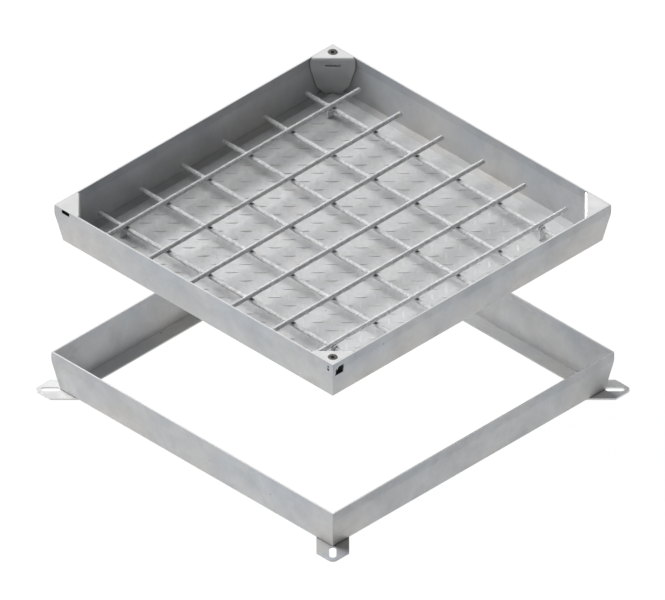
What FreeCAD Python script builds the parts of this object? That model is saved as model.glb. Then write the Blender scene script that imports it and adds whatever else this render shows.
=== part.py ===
import FreeCAD, Part
import math
import os
import Sketcher

# Recessed paving cover: a folded sheet frame with four anchor lugs, and the tray that it receives.
# The tray carries a tear plate, a welded bar mesh on four clips, and four folded corner plates.
# Millimetres, +Z up. The origin is on the ground, under the middle of the frame.
# Local X of a wall points outwards, and local X of a corner piece runs along the tray's diagonal.

SIZES = [
    ("frame_side", 680.0, "outer side of the frame at its rim"),
    ("frame_height", 78.0, "frame from the underside of its flange to its rim"),
    ("frame_sheet", 2.5, "sheet that the frame is folded from"),
    ("frame_flange", 29.5, "width of the frame's flange from the foot of its wall"),
    ("lip_height", 18.0, "upright band under the rim, on frame and tray alike"),
    ("wall_inset", 10.5, "how far a wall leans in from its rim to its foot"),
    ("bend_radius", 0.5, "inner radius of the folds at the foot of a wall"),
    ("fold_round", 1.4, "outer radius of those folds, pressed sharp"),
    ("tray_gap", 1.25, "play between tray and frame on each side"),
    ("tray_lift", 308.6, "how high the tray is held above its seat on the flange"),
    ("tray_sheet", 2.5, "sheet that the tray is folded from"),
    ("tray_flange", 45.0, "width of the tray's flange from the foot of its wall"),
    ("plate_thickness", 3.0, "tear plate without its tears"),
    ("plate_margin", 32.25, "from the tray's rim line in to the edge of the tear plate"),
    ("tear_pitch", 24.5, "spacing of the tears along the plate's diagonals"),
    ("tear_length", 23.0, "one tear from tip to tip"),
    ("tear_width", 4.6, "one tear across its middle"),
    ("tear_height", 1.0, "one tear above the plate"),
    ("tear_shift_front", 4.5, "tear pattern off the plate's middle, towards the front corner"),
    ("tear_shift_left", 1.8, "tear pattern off the plate's middle, towards the left corner"),
    ("tear_border", 20.0, "bare border of the plate"),
    ("bar_diameter", 8.6, "mesh bar over its ribs"),
    ("bar_pitch", 100.0, "spacing of the mesh bars"),
    ("mesh_margin", 21.25, "from the tray's rim line in to the ends of the bars"),
    ("bar_count", 6, "mesh bars each way"),
    ("bar_weld_gap", 0.2, "air between crossing bars beside their weld"),
    ("mesh_depth", 40.5, "from the tray's rim down to the axes of the upper bars"),
    ("clip_width", 14.0, "width of a mesh clip"),
    ("clip_sheet", 3.0, "thickness of a mesh clip"),
    ("clip_round", 6.5, "rounding of a clip's shoulders"),
    ("clip_slot_play", 0.4, "clip slot wider than the bar"),
    ("clip_slot_drop", 3.0, "how far the clip's slot runs on below the bar"),
    ("corner_depth", 44.8, "corner plate from the tray's corner in along the diagonal"),
    ("corner_sheet", 2.5, "sheet that a corner plate is folded from"),
    ("corner_bend", 2.3, "inner radius of a corner plate's fold"),
    ("corner_fit", 0.1, "play of a corner plate's top between the walls"),
    ("gusset_gap", 1.6, "gap between the edge of a gusset and the leaning walls"),
    ("gusset_foot", 25.0, "width of the gusset where it stands on the flange"),
    ("screw_setback", 24.0, "screw axis from the tray's corner along the diagonal"),
    ("screw_diameter", 10.0, "shank of the screw"),
    ("screw_head", 17.6, "head of the countersunk screw"),
    ("screw_length", 30.0, "countersunk screw over all"),
    ("screw_socket", 6.0, "hexagon socket across its flats"),
    ("socket_depth", 4.0, "depth of the hexagon socket"),
    ("screw_play", 0.2, "play round the screw's head and in its nut"),
    ("nut_flats", 17.0, "nut across its flats"),
    ("nut_height", 8.0, "height of the nut"),
    ("nut_plate_depth", 14.0, "from the rim down to the middle of the nut plate"),
    ("nut_plate_sheet", 2.0, "thickness of the nut plate"),
    ("nut_plate_hole", 11.0, "screw hole in the nut plate"),
    ("nut_plate_nose", 14.5, "nut plate past the screw axis, towards the corner"),
    ("nut_plate_width", 19.0, "nut plate across its nose"),
    ("tab_width", 24.0, "tab of the nut plate in the gusset's slot"),
    ("tab_play", 1.3, "play of the tab in the gusset's slot, on every side"),
    ("tab_recess", 2.2, "how far the tab's end stays behind the gusset's face"),
    ("window_width", 19.5, "window in a wall beside the corner"),
    ("window_height", 17.0, "height of that window"),
    ("window_inset", 7.5, "window from the tray's corner"),
    ("window_drop", 10.5, "window from the rim"),
    ("peg_hole", 3.8, "diameter of the upper peg hole"),
    ("low_peg_hole", 5.2, "diameter of the lower peg hole"),
    ("peg_inset", 11.2, "peg holes from the tray's corner"),
    ("peg_drop", 9.0, "upper peg hole from the rim"),
    ("peg_spacing", 5.8, "between the two peg holes"),
    ("key_slot_length", 19.5, "lifting key slot from end to end"),
    ("key_slot_width", 7.4, "lifting key slot across"),
    ("key_slot_inset", 26.2, "middle of the key slot from the tray's corner"),
    ("key_slot_drop", 5.4, "middle of the key slot from the rim"),
    ("lug_thickness", 3.0, "sheet of an anchor lug"),
    ("lug_width", 56.0, "anchor lug across"),
    ("lug_side_reach", 17.4, "straight sides of a lug past the frame's foot"),
    ("lug_tip_round", 10.0, "rounding of a lug's tip"),
    ("lug_setback", 2.0, "lug's hidden end behind the edge of the clear opening"),
    ("anchor_slot_length", 33.5, "anchor slot from end to end"),
    ("anchor_slot_width", 12.5, "anchor slot across"),
    ("anchor_slot_offset", 16.4, "middle of the anchor slot past the frame's foot"),
    ("cut_overrun", 5.0, "how far a cutting outline runs past the metal"),
]

# The four sides, each with the angle that brings local X to its outward direction
SIDE_ANGLES = {"front_right": 0.0, "back_right": 90.0, "back_left": 180.0, "front_left": -90.0}

# The four corners, each with the angle that brings local X to its diagonal
CORNER_ANGLES = {"front": -45.0, "right": 45.0, "back": 135.0, "left": -135.0}

# Angles: a whole turn, from a corner's diagonal to its walls, and the screws' countersink
FULL_TURN = 360.0
WALL_TURN = 45.0
COUNTERSINK_ANGLE = 90.0

# Corners where a screw and its nut hold the tray
SCREWED = ("front", "back")

# Frame formulas
FRAME_HALF = "(Sizes.frame_side / 2)"
FRAME_FOOT = f"({FRAME_HALF} - Sizes.wall_inset)"
OPENING_HALF = f"({FRAME_FOOT} - Sizes.frame_flange)"
FRAME_BASE = "Sizes.lug_thickness"
FOOT_CORNER = f"(sqrt(2) * {FRAME_FOOT})"

# Tray formulas: the seated tray is flush with the frame's rim
TRAY_HALF = f"({FRAME_HALF} - Sizes.frame_sheet - Sizes.tray_gap)"
TRAY_HEIGHT = "(Sizes.frame_height - Sizes.frame_sheet)"
TRAY_BASE = "(Sizes.lug_thickness + Sizes.frame_sheet + Sizes.tray_lift)"
TRAY_EDGE = f"({TRAY_HALF} - Sizes.wall_inset - Sizes.tray_flange)"
TRAY_LEAN = f"(Sizes.wall_inset / ({TRAY_HEIGHT} - Sizes.lip_height))"
PLATE_TOP = "(Sizes.tray_sheet + Sizes.plate_thickness)"

# Mesh formulas
BAR_RADIUS = "(Sizes.bar_diameter / 2)"
BAR_REACH = f"({TRAY_HALF} - Sizes.mesh_margin)"
TOP_BAR_LEVEL = f"({TRAY_HEIGHT} - Sizes.mesh_depth)"
CROSS_BAR_LEVEL = f"({TOP_BAR_LEVEL} - Sizes.bar_diameter - Sizes.bar_weld_gap)"
OUTER_BAR = "((Sizes.bar_count - 1) / 2 * Sizes.bar_pitch)"
CLIP_REACH = f"({OUTER_BAR} + {BAR_RADIUS} + Sizes.bar_weld_gap + Sizes.clip_sheet / 2)"

# Corner plate formulas, measured along the diagonal
TRAY_CORNER = f"(sqrt(2) * {TRAY_HALF})"
WALL_CORNER = f"(sqrt(2) * ({TRAY_HALF} - Sizes.tray_sheet))"
GUSSET_FACE = f"({TRAY_CORNER} - Sizes.corner_depth)"
GUSSET_BACK = f"({GUSSET_FACE} + Sizes.corner_sheet)"
PLATE_HALF = f"({WALL_CORNER} - {GUSSET_FACE})"
SCREW_AXIS = f"({TRAY_CORNER} - Sizes.screw_setback)"
NUT_PLATE_LEVEL = f"({TRAY_HEIGHT} - Sizes.nut_plate_depth)"

doc = FreeCAD.newDocument("PavingCover")


def make_sheet():
    """The spreadsheet of driving dimensions: a meaning, a plain number and an alias in each row."""
    sheet = doc.addObject("Spreadsheet::Sheet", "Sizes")
    for row, (name, number, meaning) in enumerate(SIZES, start=1):
        sheet.set(f"A{row}", meaning)
        sheet.set(f"B{row}", str(number))
        sheet.setAlias(f"B{row}", name)
    doc.recompute()
    return sheet


sizes = make_sheet()


def worth(formula):
    """The number that a formula has with the sheet's present values."""
    return float(sizes.evalExpression(formula.replace("Sizes.", "")))


def bind(thing, prop, formula):
    """Ties a property to a formula of the sheet."""
    thing.setExpression(prop, formula)


def place(thing, level, turn=0.0):
    """Turns a piece about the vertical axis and lifts it to its level."""
    thing.Placement = FreeCAD.Placement(FreeCAD.Vector(), FreeCAD.Rotation(FreeCAD.Vector(0, 0, 1), turn))
    bind(thing, "Placement.Base.z", level)


def new_body(label):
    """An empty body whose label names its piece."""
    body = doc.addObject("PartDesign::Body", label)
    body.Label = label
    return body


def new_sketch(body, label, role):
    """A sketch on one of the body's own origin planes."""
    sketch = body.newObject("Sketcher::SketchObject", f"{body.Name}_{label}")
    plane = next(item for item in body.Origin.OriginFeatures if item.Role == role)
    sketch.AttachmentSupport = (plane, [""])
    sketch.MapMode = "FlatFace"
    return sketch


def constrain(sketch, kind, arguments, formula):
    """Adds a dimension to a sketch and ties it to a formula."""
    number = sketch.addConstraint(Sketcher.Constraint(kind, *arguments, worth(formula)))
    sketch.setExpression(f"Constraints[{number}]", formula)


def fix_point(sketch, shape, end, across, up):
    """Places a point of a sketch. A formula of 0 puts it on the sketch's axis instead."""
    if across == "0":
        sketch.addConstraint(Sketcher.Constraint("PointOnObject", shape, end, -2))
    else:
        constrain(sketch, "DistanceX", (-1, 1, shape, end), across)
    if up == "0":
        sketch.addConstraint(Sketcher.Constraint("PointOnObject", shape, end, -1))
    else:
        constrain(sketch, "DistanceY", (-1, 1, shape, end), up)


def corner_round(before, corner, after, radius):
    """Where a round of this radius leaves both sides of a corner, its arc, and whether it turns left."""
    back = (before - corner).normalize()
    ahead = (after - corner).normalize()
    half_angle = back.getAngle(ahead) / 2
    entry = corner + back * (radius / math.tan(half_angle))
    leave = corner + ahead * (radius / math.tan(half_angle))
    centre = corner + (back + ahead).normalize() * (radius / math.sin(half_angle))
    left = back.cross(ahead).z < 0
    first, last = (entry, leave) if left else (leave, entry)
    start = math.atan2(first.y - centre.y, first.x - centre.x)
    stop = math.atan2(last.y - centre.y, last.x - centre.x)
    if stop < start:
        stop += 2 * math.pi
    circle = Part.Circle(centre, FreeCAD.Vector(0, 0, 1), radius)
    return entry, leave, Part.ArcOfCircle(circle, start, stop), left


def draw_outline(sketch, corners):
    """Draws a closed outline. A corner is two formulas, or three where it is rounded."""
    points = [FreeCAD.Vector(worth(corner[0]), worth(corner[1]), 0) for corner in corners]
    count = len(corners)
    rounds = {}
    for index, corner in enumerate(corners):
        if len(corner) == 3:
            neighbours = (points[index - 1], points[index], points[(index + 1) % count])
            rounds[index] = corner_round(*neighbours, worth(corner[2]))
    lines = []
    for index in range(count):
        following = (index + 1) % count
        start = rounds[index][1] if index in rounds else points[index]
        stop = rounds[following][0] if following in rounds else points[following]
        lines.append(sketch.addGeometry(Part.LineSegment(start, stop)))
    for index, corner in enumerate(corners):
        arriving = lines[index - 1]
        leaving = lines[index]
        if index not in rounds:
            sketch.addConstraint(Sketcher.Constraint("Coincident", arriving, 2, leaving, 1))
            fix_point(sketch, leaving, 1, corner[0], corner[1])
            continue
        arc = sketch.addGeometry(rounds[index][2])
        first, last = (1, 2) if rounds[index][3] else (2, 1)
        sketch.addConstraint(Sketcher.Constraint("Tangent", arriving, 2, arc, first))
        sketch.addConstraint(Sketcher.Constraint("Tangent", arc, last, leaving, 1))
        constrain(sketch, "Radius", (arc,), corner[2])
        mark = sketch.addGeometry(Part.Point(points[index]), True)
        fix_point(sketch, mark, 1, corner[0], corner[1])
        sketch.addConstraint(Sketcher.Constraint("PointOnObject", mark, 1, arriving))
        sketch.addConstraint(Sketcher.Constraint("PointOnObject", mark, 1, leaving))


def draw_box(sketch, low, high):
    """Draws a rectangle between two corners."""
    draw_outline(sketch, [(low[0], low[1]), (high[0], low[1]), (high[0], high[1]), (low[0], high[1])])


def draw_circle(sketch, across, up, radius):
    """Draws a circle."""
    centre = FreeCAD.Vector(worth(across), worth(up), 0)
    circle = sketch.addGeometry(Part.Circle(centre, FreeCAD.Vector(0, 0, 1), worth(radius)))
    fix_point(sketch, circle, 3, across, up)
    constrain(sketch, "Radius", (circle,), radius)


def draw_slot(sketch, first, last, radius):
    """Draws a slot with round ends, from its first centre to its last one, to the right or upwards."""
    start = FreeCAD.Vector(worth(first[0]), worth(first[1]), 0)
    stop = FreeCAD.Vector(worth(last[0]), worth(last[1]), 0)
    size = worth(radius)
    normal = FreeCAD.Vector(0, 0, 1)
    side = normal.cross((stop - start).normalize()) * size
    heading = math.atan2(side.y, side.x)
    upper = sketch.addGeometry(Part.LineSegment(stop + side, start + side))
    lower = sketch.addGeometry(Part.LineSegment(start - side, stop - side))
    turn = math.pi
    near = sketch.addGeometry(Part.ArcOfCircle(Part.Circle(start, normal, size), heading, heading + turn))
    far = sketch.addGeometry(Part.ArcOfCircle(Part.Circle(stop, normal, size), heading - turn, heading))
    sketch.addConstraint(Sketcher.Constraint("Tangent", upper, 2, near, 1))
    sketch.addConstraint(Sketcher.Constraint("Tangent", near, 2, lower, 1))
    sketch.addConstraint(Sketcher.Constraint("Tangent", lower, 2, far, 1))
    sketch.addConstraint(Sketcher.Constraint("Tangent", far, 2, upper, 1))
    sketch.addConstraint(Sketcher.Constraint("Equal", near, far))
    fix_point(sketch, near, 3, *first)
    fix_point(sketch, far, 3, *last)
    constrain(sketch, "Radius", (near,), radius)


def pad(body, sketch, length, symmetric=False):
    """Pads a sketch, to both sides of its plane where the piece is symmetric about it."""
    feature = body.newObject("PartDesign::Pad", f"{sketch.Name}_pad")
    feature.Profile = sketch
    feature.SideType = "Symmetric" if symmetric else "One side"
    bind(feature, "Length", length)
    doc.recompute()
    return feature


def pocket(body, sketch):
    """Cuts a sketch through the whole body, both ways, and checks that metal went."""
    before = body.Shape.Volume
    feature = body.newObject("PartDesign::Pocket", f"{sketch.Name}_pocket")
    feature.Profile = sketch
    feature.Type = "ThroughAll"
    feature.SideType = "Symmetric"
    doc.recompute()
    if body.Shape.Volume >= before:
        raise ValueError(f"{feature.Name} cuts nothing")
    return feature


def cut_to_depth(body, sketch, depth):
    """Cuts a sketch to a depth below its plane, and checks that metal went."""
    before = body.Shape.Volume
    feature = body.newObject("PartDesign::Pocket", f"{sketch.Name}_pocket")
    feature.Profile = sketch
    bind(feature, "Length", depth)
    doc.recompute()
    if body.Shape.Volume >= before:
        raise ValueError(f"{feature.Name} cuts nothing")
    return feature


def fold_profile(sketch, half, height, sheet, edge):
    """Section of a folded wall: upright lip, leaning wall and flange, with rounded folds at the foot."""
    lean = f"(Sizes.wall_inset / ({height} - Sizes.lip_height))"
    slope = f"sqrt(1 + {lean} ^ 2)"
    inner_foot = f"{half} - Sizes.wall_inset + {lean} * {sheet} - {sheet} * {slope}"
    inner_fold = f"{height} - Sizes.lip_height + {sheet} * ({slope} - 1) / {lean}"
    draw_outline(sketch, [
        (half, height),
        (half, f"{height} - Sizes.lip_height"),
        (f"{half} - Sizes.wall_inset", "0", "Sizes.fold_round"),
        (edge, "0"),
        (edge, sheet),
        (inner_foot, sheet, "Sizes.bend_radius"),
        (f"{half} - {sheet}", inner_fold),
        (f"{half} - {sheet}", height),
    ])


def folded_wall(label, half, height, sheet, edge):
    """One side of the frame or the tray: its section along the side, mitred at both ends."""
    body = new_body(label)
    section = new_sketch(body, "section", "XZ_Plane")
    fold_profile(section, half, height, sheet, edge)
    pad(body, section, f"2 * {half}", symmetric=True)
    for end, sign in (("right_mitre", ""), ("left_mitre", "-")):
        mitre = new_sketch(body, end, "XY_Plane")
        near = f"{edge} - Sizes.cut_overrun"
        far = f"{half} + Sizes.cut_overrun"
        draw_outline(mitre, [(near, f"{sign}({near})"), (far, f"{sign}({far})"), (near, f"{sign}({far})")])
        pocket(body, mitre)
    return body


def frame_rail(side):
    """One folded side of the frame."""
    label = f"frame_rail_{side}"
    body = folded_wall(label, FRAME_HALF, "Sizes.frame_height", "Sizes.frame_sheet", OPENING_HALF)
    place(body, FRAME_BASE, SIDE_ANGLES[side])
    return body


def cut_window(body):
    """The window beside the screwed corner, at the wall's left end seen from outside."""
    sketch = new_sketch(body, "window", "YZ_Plane")
    top = f"{TRAY_HEIGHT} - Sizes.window_drop"
    low = (f"-({TRAY_HALF} - Sizes.window_inset)", f"{top} - Sizes.window_height")
    high = (f"-({TRAY_HALF} - Sizes.window_inset - Sizes.window_width)", top)
    draw_box(sketch, low, high)
    pocket(body, sketch)


def cut_peg_holes(body):
    """The two peg holes beside the screwed corner, one over the other."""
    sketch = new_sketch(body, "peg_holes", "YZ_Plane")
    across = f"{TRAY_HALF} - Sizes.peg_inset"
    upper = f"{TRAY_HEIGHT} - Sizes.peg_drop"
    draw_circle(sketch, across, upper, "Sizes.peg_hole / 2")
    draw_circle(sketch, across, f"{upper} - Sizes.peg_spacing", "Sizes.low_peg_hole / 2")
    pocket(body, sketch)


def cut_key_slot(body):
    """The slot for a lifting key, close under the rim beside a plain corner."""
    sketch = new_sketch(body, "key_slot", "YZ_Plane")
    middle = f"{TRAY_HALF} - Sizes.key_slot_inset"
    reach = "(Sizes.key_slot_length - Sizes.key_slot_width) / 2"
    level = f"{TRAY_HEIGHT} - Sizes.key_slot_drop"
    first = (f"-({middle} + {reach})", level)
    last = (f"-({middle} - {reach})", level)
    draw_slot(sketch, first, last, "Sizes.key_slot_width / 2")
    pocket(body, sketch)


def tray_wall(side):
    """One folded side of the tray, with the cut-outs that its corners need."""
    body = folded_wall(f"tray_wall_{side}", TRAY_HALF, TRAY_HEIGHT, "Sizes.tray_sheet", TRAY_EDGE)
    if side in ("front_right", "back_left"):
        cut_window(body)
    else:
        cut_peg_holes(body)
        cut_key_slot(body)
    place(body, TRAY_BASE, SIDE_ANGLES[side])
    return body


def lug(corner):
    """Anchor lug welded under the frame's corner, with a slot along the diagonal."""
    body = new_body(f"lug_{corner}")
    sketch = new_sketch(body, "outline", "XY_Plane")
    half = "(Sizes.lug_width / 2)"
    notch = f"sqrt(2) * {OPENING_HALF} + Sizes.lug_setback"
    shoulder = f"{FOOT_CORNER} + Sizes.lug_side_reach"
    draw_outline(sketch, [
        (notch, "0"),
        (f"{notch} - {half}", f"-{half}"),
        (shoulder, f"-{half}"),
        (f"{shoulder} + {half}", "0", "Sizes.lug_tip_round"),
        (shoulder, half),
        (f"{notch} - {half}", half),
    ])
    middle = f"{FOOT_CORNER} + Sizes.anchor_slot_offset"
    reach = "(Sizes.anchor_slot_length - Sizes.anchor_slot_width) / 2"
    first = (f"{middle} - {reach}", "0")
    last = (f"{middle} + {reach}", "0")
    draw_slot(sketch, first, last, "Sizes.anchor_slot_width / 2")
    pad(body, sketch, "Sizes.lug_thickness")
    place(body, "0", CORNER_ANGLES[corner])
    return body


def under_clip(across, along):
    """True where a tear would reach under the foot of a mesh clip."""
    reach = worth("Sizes.tear_length") / 2
    beside = abs(abs(across) - worth(CLIP_REACH)) < reach + worth("Sizes.clip_sheet") / 2
    abreast = abs(abs(along) - worth(OUTER_BAR)) < reach + worth("Sizes.clip_width") / 2
    return beside and abreast


def tear_spots(half):
    """Middle of each tear and whether it runs with the first diagonal, on a checkerboard of cells."""
    pitch = worth("Sizes.tear_pitch")
    front = worth("Sizes.tear_shift_front")
    left = worth("Sizes.tear_shift_left")
    limit = half - worth("Sizes.tear_border")
    reach = int(math.sqrt(2) * limit / pitch) + 1
    for row in range(-reach, reach + 1):
        for column in range(-reach, reach + 1):
            across = ((column + row) * pitch + front - left) / math.sqrt(2)
            along = ((column - row) * pitch - front - left) / math.sqrt(2)
            if max(abs(across), abs(along)) <= limit and not under_clip(across, along):
                yield across, along, (row + column) % 2 == 1


def tear_points(across, along, first_diagonal, level):
    """The four foot points of one tear, in turn, and its peak."""
    slant = 1.0 if first_diagonal else -1.0
    length = worth("Sizes.tear_length") / 2 / math.sqrt(2)
    width = worth("Sizes.tear_width") / 2 / math.sqrt(2)
    foot = [
        FreeCAD.Vector(across + length, along + slant * length, level),
        FreeCAD.Vector(across - width, along + slant * width, level),
        FreeCAD.Vector(across - length, along - slant * length, level),
        FreeCAD.Vector(across + width, along - slant * width, level),
    ]
    return foot, FreeCAD.Vector(across, along, level + worth("Sizes.tear_height"))


def flat_face(points):
    """A plane face over the points."""
    return Part.Face(Part.makePolygon(points + points[:1]))


def tear_plate():
    """The tray's floor: a plate with raised tears, made as one closed shell of plane faces."""
    half = worth(f"{TRAY_HALF} - Sizes.plate_margin")
    thickness = worth("Sizes.plate_thickness")
    signs = ((-1, -1), (1, -1), (1, 1), (-1, 1))
    low = [FreeCAD.Vector(x * half, y * half, 0) for x, y in signs]
    high = [point + FreeCAD.Vector(0, 0, thickness) for point in low]
    faces = [flat_face(low)]
    for index, corner in enumerate(low):
        following = (index + 1) % len(low)
        faces.append(flat_face([corner, low[following], high[following], high[index]]))
    wires = [Part.makePolygon(high + high[:1])]
    for across, along, first_diagonal in tear_spots(half):
        foot, peak = tear_points(across, along, first_diagonal, thickness)
        wires.append(Part.makePolygon(foot + foot[:1]))
        for index, corner in enumerate(foot):
            faces.append(flat_face([corner, foot[(index + 1) % len(foot)], peak]))
    faces.append(Part.makeFace(wires, "Part::FaceMakerBullseye"))
    shell = Part.Shell(faces)
    shell.sewShape()
    feature = doc.addObject("Part::Feature", "tear_plate")
    feature.Label = "tear_plate"
    feature.Shape = Part.Solid(shell)
    place(feature, f"{TRAY_BASE} + Sizes.tray_sheet")
    return feature


def mesh_bar(label, turn, offset_axis, number, level):
    """One bar of the mesh, turned to its direction and set at its pitch."""
    bar = doc.addObject("Part::Cylinder", label)
    bar.Label = label
    bind(bar, "Radius", BAR_RADIUS)
    bind(bar, "Height", f"2 * {BAR_REACH}")
    bar.Placement = FreeCAD.Placement(FreeCAD.Vector(), turn)
    length_axis = "y" if offset_axis == "x" else "x"
    bind(bar, f"Placement.Base.{offset_axis}", f"{number - 1} * Sizes.bar_pitch - {OUTER_BAR}")
    bind(bar, f"Placement.Base.{length_axis}", f"-{BAR_REACH}")
    bind(bar, "Placement.Base.z", f"{TRAY_BASE} + {level}")
    return bar


def mesh():
    """Upper bars along Y, welded on cross bars along X."""
    along_y = FreeCAD.Rotation(FreeCAD.Vector(1, 0, 0), -90)
    along_x = FreeCAD.Rotation(FreeCAD.Vector(0, 1, 0), 90)
    numbers = range(1, int(worth("Sizes.bar_count")) + 1)
    bars = [mesh_bar(f"mesh_top_bar_{n}", along_y, "x", n, TOP_BAR_LEVEL) for n in numbers]
    bars += [mesh_bar(f"mesh_cross_bar_{n}", along_x, "y", n, CROSS_BAR_LEVEL) for n in numbers]
    return bars


def mesh_clip(corner, side_x, side_y):
    """Upright clip welded to the tear plate: a cross bar passes through the top of its slot."""
    body = new_body(f"mesh_clip_{corner}")
    sketch = new_sketch(body, "outline", "YZ_Plane")
    middle = f"{side_y} * {OUTER_BAR}"
    half = "Sizes.clip_width / 2"
    top = f"{CROSS_BAR_LEVEL} + {half}"
    draw_outline(sketch, [
        (f"{middle} - {half}", PLATE_TOP),
        (f"{middle} + {half}", PLATE_TOP),
        (f"{middle} + {half}", top, "Sizes.clip_round"),
        (f"{middle} - {half}", top, "Sizes.clip_round"),
    ])
    slot_foot = f"{CROSS_BAR_LEVEL} - Sizes.clip_slot_drop"
    slot_radius = "(Sizes.bar_diameter + Sizes.clip_slot_play) / 2"
    draw_slot(sketch, (middle, slot_foot), (middle, CROSS_BAR_LEVEL), slot_radius)
    pad(body, sketch, "Sizes.clip_sheet", symmetric=True)
    bind(body, "Placement.Base.x", f"{side_x} * {CLIP_REACH}")
    bind(body, "Placement.Base.z", TRAY_BASE)
    return body


def trim_plan(body):
    """Trims a corner plate to the triangle between the tray's walls, a little narrower at its fold."""
    sketch = new_sketch(body, "plan", "XY_Plane")
    apex = f"({WALL_CORNER} - sqrt(2) * Sizes.corner_fit)"
    base = f"({GUSSET_FACE} - Sizes.cut_overrun)"
    wide = f"({PLATE_HALF} + 3 * Sizes.cut_overrun)"
    fold = f"({GUSSET_BACK} + Sizes.corner_bend)"
    relief = "(sqrt(2) * Sizes.gusset_gap)"
    draw_outline(sketch, [
        (apex, "0"),
        (fold, f"{apex} - {fold}"),
        (fold, f"{apex} - {fold} - {relief}"),
        (base, f"{apex} - {base} - {relief}"),
        (base, f"-({apex} - {base} - {relief})"),
        (fold, f"-({apex} - {fold} - {relief})"),
        (fold, f"-({apex} - {fold})"),
    ])
    draw_box(sketch, (f"{base} - Sizes.cut_overrun", f"-{wide}"), (f"{apex} + Sizes.cut_overrun", wide))
    pocket(body, sketch)


def trim_to_wall(body, end, angle):
    """Trims a corner plate's gusset along one wall, in that wall's own section, with an even gap."""
    sketch = new_sketch(body, f"{end}_edge", "XZ_Plane")
    upright = FreeCAD.Vector(0, 1, 0)
    sketch.AttachmentOffset = FreeCAD.Placement(FreeCAD.Vector(), FreeCAD.Rotation(upright, angle))
    inner = f"({TRAY_HALF} - Sizes.tray_sheet - Sizes.gusset_gap)"
    fold = f"({TRAY_HEIGHT} - Sizes.lip_height)"
    foot = f"({inner} - Sizes.wall_inset)"
    far = f"({inner} + 4 * Sizes.cut_overrun)"
    shoulder = f"{TRAY_HEIGHT} - Sizes.corner_sheet - Sizes.corner_bend"
    draw_outline(sketch, [
        (foot, "-Sizes.cut_overrun"),
        (far, "-Sizes.cut_overrun"),
        (far, shoulder),
        (inner, shoulder),
        (inner, fold),
        (foot, "Sizes.tray_sheet"),
    ])
    pocket(body, sketch)


def trim_gusset(body):
    """Chamfers the gusset at 45 degrees down to its foot."""
    sketch = new_sketch(body, "chamfers", "YZ_Plane")
    foot = "(Sizes.gusset_foot / 2)"
    low = "(Sizes.tray_sheet - Sizes.cut_overrun)"
    reach = f"({PLATE_HALF} - {foot})"
    for sign in ("", "-"):
        draw_outline(sketch, [
            (f"{sign}({foot} - Sizes.cut_overrun)", low),
            (f"{sign}({PLATE_HALF} + Sizes.cut_overrun)", low),
            (f"{sign}({PLATE_HALF} + Sizes.cut_overrun)", f"Sizes.tray_sheet + {reach} + Sizes.cut_overrun"),
        ])
    pocket(body, sketch)


def cut_screw_hole(body):
    """Countersunk hole for the screw, through the corner plate's top."""
    sketch = new_sketch(body, "screw", "XY_Plane")
    bind(sketch, "AttachmentOffset.Base.z", TRAY_HEIGHT)
    draw_circle(sketch, SCREW_AXIS, "0", "Sizes.screw_diameter / 2")
    doc.recompute()
    before = body.Shape.Volume
    hole = body.newObject("PartDesign::Hole", f"{body.Name}_countersink")
    hole.Profile = sketch
    hole.DepthType = "Dimension"
    hole.HoleCutType = "Countersink"
    hole.HoleCutCustomValues = True
    hole.HoleCutCountersinkAngle = COUNTERSINK_ANGLE
    bind(hole, "Diameter", "Sizes.screw_diameter + 2 * Sizes.screw_play")
    bind(hole, "HoleCutDiameter", "Sizes.screw_head + 2 * Sizes.screw_play")
    bind(hole, "Depth", "Sizes.nut_plate_depth")
    doc.recompute()
    if body.Shape.Volume >= before:
        raise ValueError(f"{hole.Name} cuts nothing")


def cut_tab_slot(body):
    """Slot in the gusset for the nut plate's tab."""
    sketch = new_sketch(body, "tab_slot", "YZ_Plane")
    half = "(Sizes.tab_width / 2 + Sizes.tab_play)"
    rise = "(Sizes.nut_plate_sheet / 2 + Sizes.tab_play)"
    draw_box(sketch, (f"-{half}", f"{NUT_PLATE_LEVEL} - {rise}"), (half, f"{NUT_PLATE_LEVEL} + {rise}"))
    pocket(body, sketch)


def corner_plate(corner):
    """Folded corner plate: its top is flush with the rim, and its gusset stands on the flange."""
    body = new_body(f"corner_plate_{corner}")
    section = new_sketch(body, "section", "XZ_Plane")
    underside = f"{TRAY_HEIGHT} - Sizes.corner_sheet"
    draw_outline(section, [
        (WALL_CORNER, TRAY_HEIGHT),
        (GUSSET_FACE, TRAY_HEIGHT, "Sizes.corner_bend + Sizes.corner_sheet"),
        (GUSSET_FACE, "Sizes.tray_sheet"),
        (GUSSET_BACK, "Sizes.tray_sheet"),
        (GUSSET_BACK, underside, "Sizes.corner_bend"),
        (WALL_CORNER, underside),
    ])
    pad(body, section, f"2 * {PLATE_HALF}", symmetric=True)
    trim_plan(body)
    trim_to_wall(body, "right", WALL_TURN)
    trim_to_wall(body, "left", -WALL_TURN)
    trim_gusset(body)
    if corner in SCREWED:
        cut_screw_hole(body)
        cut_tab_slot(body)
    place(body, TRAY_BASE, CORNER_ANGLES[corner])
    return body


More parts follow.
